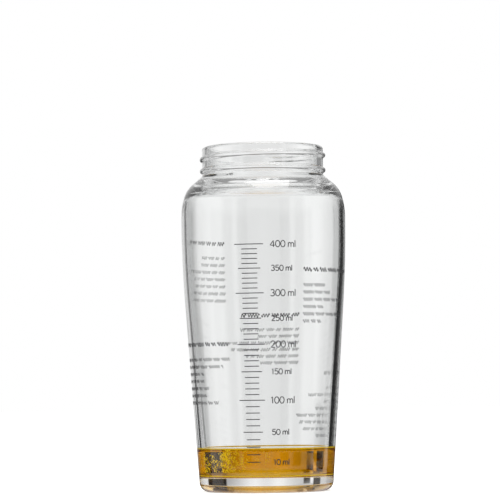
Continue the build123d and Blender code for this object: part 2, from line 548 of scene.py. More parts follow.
@dataclass(frozen=True)
class BrushedSteel:
    """Stainless steel with fine lines one way."""

    name: str
    stretch: Triple
    light: Color = (0.66, 0.65, 0.63, 1.0)
    dark: Color = (0.46, 0.455, 0.45, 1.0)
    depth: float = millimetres(0.006)
    roughness: Point = (0.26, 0.38)
    mark_patch: float = millimetres(12)
    mark_cover: float = 0.4
    mark_roughness: float = 0.08

    def build(self, effects: Effects) -> bpy.types.Material:
        """Makes the material.

        Args:
            effects: The shared shader groups.

        Returns:
            The steel.
        """
        finish = Finish(self.name)
        graph = finish.graph
        lines = finish.effect(effects.brushing, Stretch=self.stretch)
        marks = finish.effect(effects.marks, Patch=self.mark_patch, Cover=self.mark_cover)
        rough = graph.span(lines.outputs["Tone"], TONES, self.roughness)
        dulled = graph.math("MULTIPLY", marks.outputs["Mask"], self.mark_roughness)
        finish.set(
            Base_Color=graph.mix(lines.outputs["Tone"], self.light, self.dark),
            Metallic=1.0,
            Roughness=graph.math("ADD", rough, dulled),
            Normal=graph.bump(lines.outputs["Height"], self.depth),
        )
        return finish.material


@dataclass(frozen=True)
class Silicone:
    """Soft, slightly cloudy sealing rubber."""

    color: Color = (0.7, 0.7, 0.68, 1.0)
    tint: Color = (0.6, 0.6, 0.57, 1.0)
    cell: float = millimetres(0.25)
    cloud: float = millimetres(6)
    depth: float = millimetres(0.008)
    roughness: Point = (0.5, 0.7)
    dust_patch: float = millimetres(4)
    dust_cover: float = 0.4
    milkiness: float = 0.25
    milk_depth: float = millimetres(1.5)

    def build(self, effects: Effects) -> bpy.types.Material:
        """Makes the material.

        Args:
            effects: The shared shader groups.

        Returns:
            The silicone.
        """
        finish = Finish("cloudy_silicone")
        graph = finish.graph
        grain = finish.effect(effects.grain, Cell=self.cell, Cloud=self.cloud)
        dust = finish.effect(effects.marks, Patch=self.dust_patch, Cover=self.dust_cover)
        finish.set(
            Base_Color=graph.mix(grain.outputs["Tone"], self.color, self.tint),
            Roughness=graph.span(dust.outputs["Mask"], (0.0, 1.0), self.roughness),
            Subsurface_Weight=self.milkiness,
            Subsurface_Scale=self.milk_depth,
            Normal=graph.bump(grain.outputs["Height"], self.depth),
        )
        return finish.material


# Forms

# How finely fillets and crowns are drawn
TURN_STEP = math.radians(5)
LEAST_TURN_STEPS = 4
LEAST_TURN = 1e-6
CROWN_STEPS = 12


@dataclass(frozen=True)
class Corner:
    """A corner of an outline, rounded by a fillet of a radius or of a reach along its sides."""

    radius: float
    height: float
    fillet: float = 0.0
    reach: float = 0.0


def rounded_corner(before: Corner, corner: Corner, after: Corner) -> list[Point]:
    """Points of one corner's fillet, or the corner itself where it is sharp.

    Args:
        before: The corner before it.
        corner: The corner to round.
        after: The corner after it.

    Returns:
        Points as (radius, height).
    """
    centre = Vector((corner.radius, corner.height))
    back = (Vector((before.radius, before.height)) - centre).normalized()
    ahead = (Vector((after.radius, after.height)) - centre).normalized()
    turn = math.pi - back.angle(ahead)
    reach = corner.reach or corner.fillet * math.tan(turn / 2)
    if reach == 0 or turn < LEAST_TURN:
        return [(corner.radius, corner.height)]
    fillet = reach / math.tan(turn / 2)
    steps = max(LEAST_TURN_STEPS, math.ceil(turn / TURN_STEP))
    start = centre + back * reach
    inward = (ahead + back).normalized()
    middle = centre + inward * (fillet / math.cos(turn / 2))
    arm = start - middle
    side = 1 if back.x * ahead.y - back.y * ahead.x < 0 else -1
    points = []
    for step in range(steps + 1):
        angle = side * turn * step / steps
        spun = Vector(
            (
                arm.x * math.cos(angle) - arm.y * math.sin(angle),
                arm.x * math.sin(angle) + arm.y * math.cos(angle),
            )
        )
        points.append(tuple(middle + spun))
    return points


def rounded_outline(corners: list[Corner]) -> list[Point]:
    """Points of an open outline with all its inner corners rounded.

    Args:
        corners: The corners in order; the first and the last stay sharp.

    Returns:
        Points as (radius, height).
    """
    points = [(corners[0].radius, corners[0].height)]
    for before, corner, after in zip(corners, corners[1:], corners[2:]):
        points += rounded_corner(before, corner, after)
    points.append((corners[-1].radius, corners[-1].height))
    return points


def divided(points: list[Point], step: float) -> list[Point]:
    """The same outline with no run between points longer than a step.

    Args:
        points: The outline.
        step: The longest run allowed.

    Returns:
        The old points with new ones spread evenly between them.
    """
    result = [points[0]]
    for start, end in zip(points, points[1:]):
        pieces = max(1, math.ceil(math.dist(start, end) / step))
        for piece in range(1, pieces + 1):
            share = piece / pieces
            result.append(tuple(old + (new - old) * share for old, new in zip(start, end)))
    return result


def crown_points(reach: float, base: float, rise: float) -> list[Point]:
    """An arc from (reach, base) to a level top on the axis.

    Args:
        reach: Radius at which the arc starts.
        base: Height at which it starts.
        rise: How far it climbs to the axis.

    Returns:
        Points as (radius, height), from the start to the axis.
    """
    radius = (reach**2 + rise**2) / (2 * rise)
    points = []
    for step in range(CROWN_STEPS + 1):
        out = reach * (1 - step / CROWN_STEPS)
        points.append((out, base + rise - radius + math.sqrt(radius**2 - out**2)))
    return points


def radius_at(outline: list[Point], height: float, otherwise: float) -> float:
    """Radius of a rising outline at a height.

    Args:
        outline: Points as (radius, height), from the lowest up.
        height: The height.
        otherwise: The radius to give where the outline doesn't reach.

    Returns:
        The radius.
    """
    for (low_radius, low), (high_radius, high) in zip(outline, outline[1:]):
        if low <= height < high:
            return low_radius + (high_radius - low_radius) * (height - low) / (high - low)
    return otherwise


def around(radius: float, angle: float, height: float) -> Vector:
    """The point at a radius, an angle from the front towards +X in radians, and a height."""
    return Vector((radius * math.sin(angle), -radius * math.cos(angle), height))


def new_object(
    name: str, vertices: list[Vector], faces: list[Face], smooth: bool = True
) -> bpy.types.Object:
    """Makes a mesh object and links it to the scene.

    Args:
        name: The piece's name.
        vertices: The points.
        faces: The faces as tuples of point numbers.
        smooth: Whether the faces are shaded smooth.

    Returns:
        The object.
    """
    mesh = bpy.data.meshes.new(name)
    mesh.from_pydata(vertices, [], faces)
    mesh.polygons.foreach_set("use_smooth", [smooth] * len(mesh.polygons))
    mesh.update()
    made = bpy.data.objects.new(name, mesh)
    bpy.context.scene.collection.objects.link(made)
    return made


def revolved(
    outline: list[Point], segments: int, swell: Callable[[int, float], float]
) -> tuple[list[Vector], list[Face]]:
    """Revolves an outline whose two ends lie on the axis.

    Args:
        outline: Points as (radius, height), walked with the material on the left.
        segments: Number of steps round the axis.
        swell: Gives what is added to the radius at a point's number and an angle.

    Returns:
        The vertices and the faces of a closed mesh.
    """
    vertices = [Vector((0, 0, outline[0][1])), Vector((0, 0, outline[-1][1]))]
    poles = len(vertices)
    rings = outline[1:-1]
    for number, (radius, height) in enumerate(rings, start=1):
        for segment in range(segments):
            angle = math.tau * segment / segments
            vertices.append(around(radius + swell(number, angle), angle, height))
    last = poles + (len(rings) - 1) * segments
    faces = []
    for segment in range(segments):
        following = (segment + 1) % segments
        faces.append((0, poles + following, poles + segment))
        faces.append((last + segment, last + following, 1))
        for ring in range(len(rings) - 1):
            low, high = poles + ring * segments, poles + (ring + 1) * segments
            faces.append((low + segment, low + following, high + following, high + segment))
    return vertices, faces


# Glass


@dataclass
class GlassBody:
    """The pressed glass: tapered body, shoulder, threaded neck and pushed-up base.

    Drops are measured down from the rim, and a reach is how far a rounded corner runs along
    each of its sides. The inner wall waves a little, and is calm at the floor and the ceiling.
    """

    belly_drop: float = millimetres(56.2)
    belly_reach: float = millimetres(19.8)
    foot_radius: float = millimetres(32.75)
    heel_fillet: float = millimetres(4.8)
    foot_ring_width: float = millimetres(2.6)
    push_up: float = millimetres(4.0)
    shoulder_drops: tuple[float, float, float] = (
        millimetres(14.4),
        millimetres(21.2),
        millimetres(29.8),
    )
    bend_inset: float = millimetres(2.55)
    bend_reach: float = millimetres(3.86)
    shoulder_reach: float = millimetres(5.02)
    base_wall: float = millimetres(3.3)
    belly_wall: float = millimetres(2.5)
    floor_height: float = millimetres(7.5)
    floor_crown: float = millimetres(4.5)
    floor_fillet: float = millimetres(6.0)
    ceiling_drop: float = millimetres(19.6)
    ceiling_fall: float = millimetres(3.2)
    ceiling_reach: float = millimetres(6.0)
    mouth_reach: float = millimetres(1.85)
    neck_radius: float = millimetres(30.0)
    neck_wall: float = millimetres(3.0)
    neck_root_fillet: float = millimetres(1.4)
    lip_fillet: float = millimetres(1.45)
    bead_height: float = millimetres(1.2)
    bead_half_width: float = millimetres(1.2)
    bead_root: float = millimetres(0.35)
    bead_root_share: float = 0.25
    thread_drop: float = millimetres(5.25)
    thread_pitch: float = millimetres(3.4)
    thread_run_out: float = math.radians(12)
    ring_drop: float = millimetres(11.8)
    wall_wave: float = millimetres(0.022)
    wave_seed: int = 7
    wave_count: int = 5
    wave_turns: tuple[int, int] = (1, 4)
    wave_climbs: Point = (25, 110)
    wave_shares: Point = (0.4, 1)
    calm_fillets: float = 2.0
    calm_drops: float = 1.6
    segments: int = 300
    wall_step: float = millimetres(3.2)
    neck_step: float = millimetres(0.18)
    low: Vector = field(init=False)
    high: Vector = field(init=False)
    waves: list[tuple[int, float, float, float]] = field(init=False)
    outside: list[Point] = field(init=False)

    def __post_init__(self) -> None:
        """Takes the height and the width from the CAD node and draws the wall's waves."""
        self.low, self.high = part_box("glass_bottle")
        self.outside = self.outer_outline()
        dice = random.Random(self.wave_seed)
        self.waves = [
            (
                dice.randint(*self.wave_turns),
                dice.uniform(*self.wave_climbs),
                dice.uniform(0, math.tau),
                dice.uniform(*self.wave_shares),
            )
            for _ in range(self.wave_count)
        ]

    @property
    def height(self) -> float:
        """Height of the rim."""
        return self.high.z

    @property
    def belly_radius(self) -> float:
        """Largest radius outside."""
        return (self.high.y - self.low.y) / 2

    @property
    def belly_height(self) -> float:
        """Height at which the leaning wall would meet the upright one."""
        return self.height - self.belly_drop

    def lean_radius(self, height: float) -> float:
        """Radius of the straight, leaning wall at a height."""
        share = height / self.belly_height
        return self.foot_radius + (self.belly_radius - self.foot_radius) * share

    def outer_corners(self) -> list[Corner]:
        """Corners of the outside from the foot ring to the top of the rim.

        Returns:
            The corners, with the shoulder's three between the body and the neck.
        """
        root_drop, bend_drop, end_drop = self.shoulder_drops
        bend_radius = self.belly_radius - self.bend_inset
        return [
            Corner(self.foot_radius - self.heel_fillet - self.foot_ring_width, 0),
            Corner(self.foot_radius, 0, fillet=self.heel_fillet),
            Corner(self.belly_radius, self.belly_height, reach=self.belly_reach),
            Corner(self.belly_radius, self.height - end_drop, reach=self.shoulder_reach),
            Corner(bend_radius, self.height - bend_drop, reach=self.bend_reach),
            Corner(self.neck_radius, self.height - root_drop, fillet=self.neck_root_fillet),
            Corner(self.neck_radius, self.height, fillet=self.lip_fillet),
            Corner(self.neck_radius - self.neck_wall / 2, self.height),
        ]

    def inner_corners(self) -> list[Corner]:
        """Corners of the inside from the top of the rim to the floor's flat edge.

        Returns:
            The corners, set in from the outside by the wall.
        """
        bore = self.neck_radius - self.neck_wall
        ceiling = self.height - self.ceiling_drop
        inside = self.belly_radius - self.belly_wall
        floor_edge = self.lean_radius(self.floor_height) - self.base_wall
        return [
            Corner(bore + self.neck_wall / 2, self.height),
            Corner(bore, self.height, fillet=self.lip_fillet),
            Corner(bore, ceiling, reach=self.mouth_reach),
            Corner(inside, ceiling - self.ceiling_fall, reach=self.ceiling_reach),
            Corner(inside, self.belly_height, reach=self.belly_reach),
            Corner(floor_edge, self.floor_height, fillet=self.floor_fillet),
            Corner(floor_edge - self.floor_fillet, self.floor_height),
        ]

    def outer_outline(self) -> list[Point]:
        """The outside from the foot ring to the top of the rim.

        Returns:
            Points as (radius, height), finely divided at the neck.
        """
        points = divided(rounded_outline(self.outer_corners()), self.wall_step)
        neck = self.height - self.shoulder_drops[0]
        body = [point for point in points if point[1] < neck]
        return body + divided([point for point in points if point[1] >= neck], self.neck_step)

    def inner_outline(self) -> list[Point]:
        """The inside from the top of the rim to the edge of the floor's crown."""
        return divided(rounded_outline(self.inner_corners()), self.wall_step)

    def wave(self, angle: float, height: float) -> float:
        """How far the inner wall waves in or out.

        Args:
            angle: Angle from the front towards +X, in radians.
            height: Height above the table.

        Returns:
            What the waves add to the radius, nothing at the floor and at the shoulder.
        """
        total = sum(
            share * math.sin(turns * angle + height * climb + phase)
            for turns, climb, phase, share in self.waves
        )
        floor_end = self.floor_height + self.calm_fillets * self.floor_fillet
        ceiling_start = self.height - self.calm_drops * self.ceiling_drop
        share = lifted(self.floor_height, floor_end, height)
        share *= 1 - lifted(ceiling_start, self.height - self.ceiling_drop, height)
        return self.wall_wave * total * share

    def bead(self, offset: float) -> float:
        """How far a round bead, blended into the wall, stands out.

        Args:
            offset: Distance up or down from the bead's middle.

        Returns:
            What the bead adds to the radius.
        """
        share = abs(offset) / self.bead_half_width
        blend = 1 - lifted(1.0, 1.0 + self.bead_root / self.bead_half_width, share)
        rounded = math.sqrt(max(1 - share**2, 0.0))
        return self.bead_height * max(rounded, self.bead_root_share * blend)

    def neck_swell(self, angle: float, height: float) -> float:
        """How far the thread and the ring stand out of the neck.

        Args:
            angle: Angle from the front towards +X, in radians.
            height: Height above the table.

        Returns:
            The larger of the two beads there.
        """
        ring = self.bead(height - (self.height - self.ring_drop))
        turn = angle - math.tau if angle > math.pi else angle
        middle = self.height - self.thread_drop + self.thread_pitch * turn / math.tau
        fade = lifted(0.0, self.thread_run_out, math.pi - abs(turn))
        return max(ring, fade * self.bead(height - middle))

    def outer_radius(self, height: float) -> float:
        """Radius of the outside at a height above the heel."""
        return radius_at(self.outside, height, self.neck_radius)

    def inner_radius(self, height: float) -> float:
        """Radius of the inner wall or floor fillet at a height."""
        rising = self.inner_outline()[::-1]
        return radius_at(rising, height, rising[0][0])

    def build(self, glass: bpy.types.Material) -> bpy.types.Object:
        """Makes the glass and puts it in the place of its CAD node.

        Args:
            glass: The finish.

        Returns:
            The piece.
        """
        outer = self.outside
        inner = self.inner_outline()[1:]
        push_up = crown_points(outer[0][0], 0.0, self.push_up)[::-1][:-1]
        crown = crown_points(inner[-1][0], self.floor_height, self.floor_crown)[1:]
        outline = push_up + outer + inner + crown
        neck = self.height - self.shoulder_drops[0]
        rim = len(push_up) + len(outer)

        def swell(number: int, angle: float) -> float:
            """Adds the beads outside the neck and the waves inside the wall.

            Args:
                number: The point's number in the outline.
                angle: Angle from the front towards +X, in radians.

            Returns:
                What is added to the point's radius.
            """
            height = outline[number][1]
            if number < rim:
                return self.neck_swell(angle, height) if height > neck else 0.0
            return self.wave(angle, height)

        made = new_object("glass_body", *revolved(outline, self.segments, swell))
        made.data.materials.append(glass)
        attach(made, Body.BOTTLE.value)
        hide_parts("glass_bottle")
        return made


# Print

ARC_STEP = 18.0
LEAST_ARC_STEPS = 2
CELL_MIDDLE = 0.5

# Pairs of a stroke's four long edges, a pair for each side: over, under, right and left.
# The edges are numbered under right, under left, over right, over left.
STROKE_SIDES = ((2, 3), (1, 0), (0, 2), (3, 1))


def curve(centre: Point, size: Point, start: float, end: float) -> list[Point]:
    """An elliptical arc.

    Args:
        centre: The ellipse's centre.
        size: Its half width and half height.
        start: The angle at which the arc starts, in degrees.
        end: The angle at which it ends.

    Returns:
        Points along the arc.
    """
    steps = max(LEAST_ARC_STEPS, math.ceil(abs(end - start) / ARC_STEP))
    points = []
    for step in range(steps + 1):
        angle = math.radians(start + (end - start) * step / steps)
        across, up = size[0] * math.cos(angle), size[1] * math.sin(angle)
        points.append((centre[0] + across, centre[1] + up))
    return points


# The width that each character takes and its strokes, on a cell one unit high
CHARACTERS: dict[str, tuple[float, list[list[Point]]]] = {
    "0": (0.82, [curve((0.36, 0.5), (0.34, 0.5), 90, 450)]),
    "1": (0.52, [[(0.02, 0.8), (0.24, 1.0), (0.24, 0.0)]]),
    "2": (0.8, [curve((0.34, 0.7), (0.3, 0.3), 165, -30) + [(0.04, 0.0), (0.7, 0.0)]]),
    "3": (
        0.8,
        [
            curve((0.33, 0.75), (0.27, 0.25), 150, -90)
            + curve((0.33, 0.26), (0.32, 0.26), 90, -150)
        ],
    ),
    "4": (0.86, [[(0.56, 0.0), (0.56, 1.0), (0.02, 0.26), (0.76, 0.26)]]),
    "5": (
        0.8,
        [[(0.64, 1.0), (0.14, 1.0), (0.08, 0.52)] + curve((0.34, 0.32), (0.32, 0.32), 125, -150)],
    ),
    " ": (0.36, []),
    "m": (
        1.08,
        [
            [(0.05, 0.0), (0.05, 0.68)],
            [(0.05, 0.0)] + curve((0.27, 0.42), (0.22, 0.26), 180, 0) + [(0.49, 0.0)],
            [(0.49, 0.4)] + curve((0.71, 0.42), (0.22, 0.26), 180, 0) + [(0.93, 0.0)],
        ],
    ),
    "l": (0.3, [[(0.08, 0.0), (0.08, 1.05)]]),
}


@dataclass
class PrintedFilm:
    """A thin film printed on the outside of the glass, built up from strokes."""

    body: GlassBody
    name: str
    lift: float = millimetres(0.01)
    thickness: float = millimetres(0.03)
    longest_run: float = millimetres(1.0)
    vertices: list[Vector] = field(default_factory=list)
    faces: list[Face] = field(default_factory=list)

    def on_glass(self, along: float, up: float, out: float) -> Vector:
        """The point over the glass at an angle, a height and a distance out of it."""
        return around(self.body.outer_radius(up) + out, along, up)

    def stroke(self, points: list[Point], width: float) -> None:
        """Adds one stroke as a closed ribbon.

        Args:
            points: The stroke's middle as (angle in radians, height).
            width: Its width in metres.
        """
        radius = self.body.outer_radius(points[0][1])
        flat = divided([(angle * radius, height) for angle, height in points], self.longest_run)
        base = len(self.vertices)
        for number, place in enumerate(flat):
            before = Vector(flat[max(number - 1, 0)])
            after = Vector(flat[min(number + 1, len(flat) - 1)])
            ahead = (after - before).normalized()
            side = Vector((-ahead.y, ahead.x)) * (width / 2)
            for out in (self.lift, self.lift + self.thickness):
                for sign in (-1, 1):
                    spot = Vector(place) + side * sign
                    self.vertices.append(self.on_glass(spot.x / radius, spot.y, out))
        edges = len(STROKE_SIDES)
        for number in range(len(flat) - 1):
            here = base + edges * number
            there = here + edges
            for first, second in STROKE_SIDES:
                self.faces.append((here + first, here + second, there + second, there + first))
        last = base + edges * (len(flat) - 1)
        self.faces.append((base, base + 1, base + 3, base + 2))
        self.faces.append((last + 2, last + 3, last + 1, last))

    def finish(self, material: bpy.types.Material) -> bpy.types.Object:
        """Makes the piece from its strokes.

        Args:
            material: The print's finish.

        Returns:
            The piece.
        """
        made = new_object(self.name, self.vertices, self.faces, smooth=False)
        made.data.materials.append(material)
        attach(made, Body.BOTTLE.value)
        return made


@dataclass
class VolumeScale:
    """The printed scale: a mark each ten millilitres, with plain numbers at the main ones.

    A mark is the angles in degrees at which it starts and ends. A label is the angle at which
    it starts and the height of its digits.
    """

    body: GlassBody
    heights: tuple[tuple[int, float], ...] = (
        (10, millimetres(15.0)),
        (50, millimetres(29.4)),
        (100, millimetres(44.7)),
        (150, millimetres(58.4)),
        (200, millimetres(71.5)),
        (250, millimetres(84.0)),
        (300, millimetres(96.1)),
        (350, millimetres(108.0)),
        (400, millimetres(119.6)),
    )
    step: int = 10
    fifty: int = 50
    hundred: int = 100
    hundred_mark: Point = (-20.4, -0.4)
    fifty_mark: Point = (-18.0, -2.4)
    ten_mark: Point = (-15.5, -4.6)
    line_width: float = millimetres(0.42)
    hundred_label: Point = (4.3, millimetres(3.1))
    fifty_label: Point = (4.9, millimetres(2.6))
    ten_label: Point = (6.2, millimetres(2.6))
    letter_width: float = millimetres(0.43)

    def height_of(self, volume: float) -> float:
        """Height of the mark for a volume.

        Args:
            volume: The volume in millilitres.

        Returns:
            The height above the table.
        """
        for (low, bottom), (high, top) in zip(self.heights, self.heights[1:]):
            if volume <= high:
                return bottom + (top - bottom) * (volume - low) / (high - low)
        return self.heights[-1][1]

    def label(self, film: PrintedFilm, volume: int, place: Point) -> None:
        """Writes a volume beside its mark.

        Args:
            film: The film to print on.
            volume: The volume in millilitres.
            place: The angle in degrees at which the number starts, and its digits' height.
        """
        start, size = place
        height = self.height_of(volume)
        radius = self.body.outer_radius(height)
        along = math.radians(start) * radius
        for character in f"{volume} ml":
            advance, strokes = CHARACTERS[character]
            for stroke in strokes:
                spots = [
                    ((along + x * size) / radius, height + (y - CELL_MIDDLE) * size)
                    for x, y in stroke
                ]
                film.stroke(spots, self.letter_width)
            along += advance * size

    def build(self, ink: bpy.types.Material) -> bpy.types.Object:
        """Prints the scale.

        Args:
            ink: The print's finish.

        Returns:
            The piece.
        """
        film = PrintedFilm(self.body, "volume_scale")
        first, last = self.heights[0][0], self.heights[-1][0]
        for volume in range(first, last + self.step, self.step):
            if volume % self.hundred == 0:
                mark, label = self.hundred_mark, self.hundred_label
            elif volume % self.fifty == 0:
                mark, label = self.fifty_mark, self.fifty_label
            else:
                mark, label = self.ten_mark, self.ten_label if volume == first else None
            height = self.height_of(volume)
            film.stroke([(math.radians(angle), height) for angle in mark], self.line_width)
            if label:
                self.label(film, volume, label)
        return film.finish(ink)


@dataclass(frozen=True)
class NoteBlock:
    """A block of plain printed lines: a bold heading line over several thin ones.

    Its start and ends are angles in degrees from the front towards +X.
    """

    name: str
    start: float
    heading_end: float
    heading_height: float
    line_gap: float
    line_ends: tuple[float, ...]


@dataclass
class PrintedNotes:
    """Blocks of plain wavy lines printed round the body, which form no letters."""

    body: GlassBody
    blocks: tuple[NoteBlock, ...] = (
        NoteBlock(
            "front_right",
            start=28.7,
            heading_end=84,
            heading_height=millimetres(107.4),
            line_gap=millimetres(3.5),
            line_ends=(50, 54, 72, 47, 72, 45),
        ),
        NoteBlock(
            "front_left",
            start=-92,
            heading_end=-25.9,
            heading_height=millimetres(72.0),
            line_gap=millimetres(3.5),
            line_ends=(-27, -33, -54, -54, -46, -50, -38),
        ),
        NoteBlock(
            "back_left",
            start=-148.4,
            heading_end=-101,
            heading_height=millimetres(123.8),
            line_gap=millimetres(3.62),
            line_ends=(-122, -123, -100, -110, -112, -102, -102),
        ),
        NoteBlock(
            "back_middle",
            start=151.3,
            heading_end=199.0,
            heading_height=millimetres(87.4),
            line_gap=millimetres(3.37),
            line_ends=(200, 186, 211, 209, 196, 184),
        ),
        NoteBlock(
            "back_right",
            start=93,
            heading_end=121,
            heading_height=millimetres(57.4),
            line_gap=millimetres(3.4),
            line_ends=(112, 140, 118, 130, 152, 149, 145, 128),
        ),
    )
    heading_gap: float = millimetres(7.4)
    wave_height: float = millimetres(1.05)
    wave_least: float = 0.55
    wave_length: float = millimetres(1.25)
    wave_points: int = 6
    least_points: int = 4
    line_width: float = millimetres(0.26)
    heading_scale: float = 1.2
    heading_width: float = millimetres(0.46)
    word_lengths: Point = (millimetres(2.2), millimetres(7.5))
    word_gap: float = millimetres(1.1)
    seed: int = 11

    def line(
        self, film: PrintedFilm, ends: Point, height: float, bold: bool, dice: random.Random
    ) -> None:
        """Prints one line as a row of short waves.

        Args:
            film: The film to print on.
            ends: The angles in degrees at which the line starts and ends.
            height: The line's height above the table.
            bold: Whether it is a heading.
            dice: The random source for the lengths of the waves.
        """
        radius = self.body.outer_radius(height)
        here, stop = (math.radians(angle) * radius for angle in ends)
        rise = self.wave_height * (self.heading_scale if bold else 1)
        length = self.wave_length * (self.heading_scale if bold else 1)
        width = self.heading_width if bold else self.line_width
        while here < stop - self.word_gap:
            word = min(dice.uniform(*self.word_lengths), stop - here)
            count = max(self.least_points, round(word / length * self.wave_points))
            spots = []
            for number in range(count + 1):
                along = here + word * number / count
                tall = rise * dice.uniform(self.wave_least, 1.0)
                climb = tall * math.sin(math.tau * number / self.wave_points)
                spots.append((along / radius, height + climb))
            film.stroke(spots, width)
            here += word + self.word_gap

    def build(self, ink: bpy.types.Material) -> list[bpy.types.Object]:
        """Prints the blocks.

        Args:
            ink: The print's finish.

        Returns:
            One piece for each block.
        """
        dice = random.Random(self.seed)
        made = []
        for block in self.blocks:
            film = PrintedFilm(self.body, f"note_lines_{block.name}")
            heading = (block.start, block.heading_end)
            self.line(film, heading, block.heading_height, True, dice)
            first = block.heading_height - self.heading_gap
            for number, end in enumerate(block.line_ends):
                height = first - number * block.line_gap
                self.line(film, (block.start, end), height, False, dice)
            made.append(film.finish(ink))
        return made


# Oil


@dataclass
class Oil:
    """The oil in the bottle, with a low meniscus where it meets the glass."""

    body: GlassBody
    level: float = millimetres(21.4)
    bite: float = millimetres(0.05)
    meniscus_rise: float = millimetres(0.28)
    meniscus_width: float = millimetres(0.5)
    wall_lean: float = math.radians(3.9)
    surface_rings: int = 24

    def outline(self) -> list[Point]:
        """The oil in section.

        Returns:
            Points as (radius, height): floor, wall up to the meniscus, surface back to the axis.
        """
        body = self.body
        inner = body.inner_outline()[::-1]
        crown = crown_points(inner[0][0], body.floor_height, body.floor_crown)[1:][::-1]
        top = self.level + self.meniscus_rise
        wetted = [point for point in inner if point[1] < top]
        floor = [(radius, height - self.bite) for radius, height in crown]
        wall = [(radius + self.bite, height - self.bite) for radius, height in wetted]
        inner_radius = wall[-1][0] + (top - wall[-1][1]) * math.tan(self.wall_lean)
        surface = []
        for ring in range(self.surface_rings + 1):
            share = ring / self.surface_rings
            radius = inner_radius * (1 - share**2)
            rise = self.meniscus_rise * math.exp((radius - inner_radius) / self.meniscus_width)
            surface.append((radius, self.level + rise))
        return floor + wall + surface

    def build(self, finish: bpy.types.Material) -> bpy.types.Object:
        """Pours the oil.

        Args:
            finish: The oil's finish.

        Returns:
            The piece.
        """
        outline = self.outline()
        wall_end = len(outline) - self.surface_rings - 1

        def swell(number: int, angle: float) -> float:
            """Follows the glass's waves up to the meniscus."""
            return self.body.wave(angle, outline[number][1]) if number <= wall_end else 0.0

        made = new_object("poured_oil", *revolved(outline, self.body.segments, swell))
        made.data.materials.append(finish)
        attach(made, Body.BOTTLE.value)
        return made


@dataclass(frozen=True)
class FrothPatch:
    """A patch of bubbles: its angles in degrees, heights, bubble radii and their number."""

    angles: Point
    heights: Point
    sizes: Point
    count: int


@dataclass
class Froth:
    """Small bubbles that cling to the glass in the oil, dense on the left and thinning out."""

    body: GlassBody
    patches: tuple[FrothPatch, ...] = (
        FrothPatch(
            angles=(-67, -46),
            heights=(millimetres(10.2), millimetres(18.4)),
            sizes=(millimetres(0.14), millimetres(0.42)),
            count=190,
        ),
        FrothPatch(
            angles=(-44, -34),
            heights=(millimetres(10.2), millimetres(20.9)),
            sizes=(millimetres(0.12), millimetres(0.36)),
            count=380,
        ),
        FrothPatch(
            angles=(-34, -19),
            heights=(millimetres(10.4), millimetres(20.9)),
            sizes=(millimetres(0.11), millimetres(0.26)),
            count=260,
        ),
        FrothPatch(
            angles=(-19, 2),
            heights=(millimetres(12.6), millimetres(20.8)),
            sizes=(millimetres(0.1), millimetres(0.22)),
            count=70,
        ),
    )
    seed: int = 5
    clump_size: int = 4
    clump_reach: float = millimetres(0.6)
    small_bias: float = 1.5
    depth: float = millimetres(0.25)
    rows: int = 5

    def spots(self) -> list[Triple]:
        """Places the bubbles in loose clumps.

        Returns:
            Angle, height and radius of each bubble.
        """
        dice = random.Random(self.seed)
        places = []
        for patch in self.patches:
            start, stop = (math.radians(angle) for angle in patch.angles)
            low, high = patch.heights
            small, large = patch.sizes
            for _ in range(patch.count // self.clump_size):
                angle, height = dice.uniform(start, stop), dice.uniform(low, high)
                radius = self.body.lean_radius(height)
                for _ in range(self.clump_size):
                    drift = dice.gauss(0, self.clump_reach) / radius
                    climb = dice.gauss(0, self.clump_reach)
                    size = small * (large / small) ** (dice.random() ** self.small_bias)
                    places.append((angle + drift, min(max(height + climb, low), high), size))
        return places

    def ball(self, centre: Vector, size: float) -> tuple[list[Vector], list[Face]]:
        """A small ball.

        Args:
            centre: Its centre.
            size: Its radius.

        Returns:
            Its vertices and outward faces.
        """
        turns = [math.pi * row / self.rows for row in range(self.rows + 1)]
        outline = [(size * math.sin(turn), -size * math.cos(turn)) for turn in turns]
        vertices, faces = revolved(outline, 2 * self.rows, lambda number, angle: 0.0)
        return [centre + vertex for vertex in vertices], faces

    def build(self, finish: bpy.types.Material) -> bpy.types.Object:
        """Blows the bubbles.

        Args:
            finish: The froth's finish.

        Returns:
            The piece.
        """
        vertices, faces = [], []
        for angle, height, size in self.spots():
            wall = self.body.lean_radius(height) - self.body.base_wall + self.depth
            points, skin = self.ball(around(wall, angle, height), size)
            faces += [tuple(len(vertices) + number for number in face) for face in skin]
            vertices += points
        made = new_object("oil_froth", vertices, faces)
        made.data.materials.append(finish)
        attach(made, Body.BOTTLE.value)
        return made


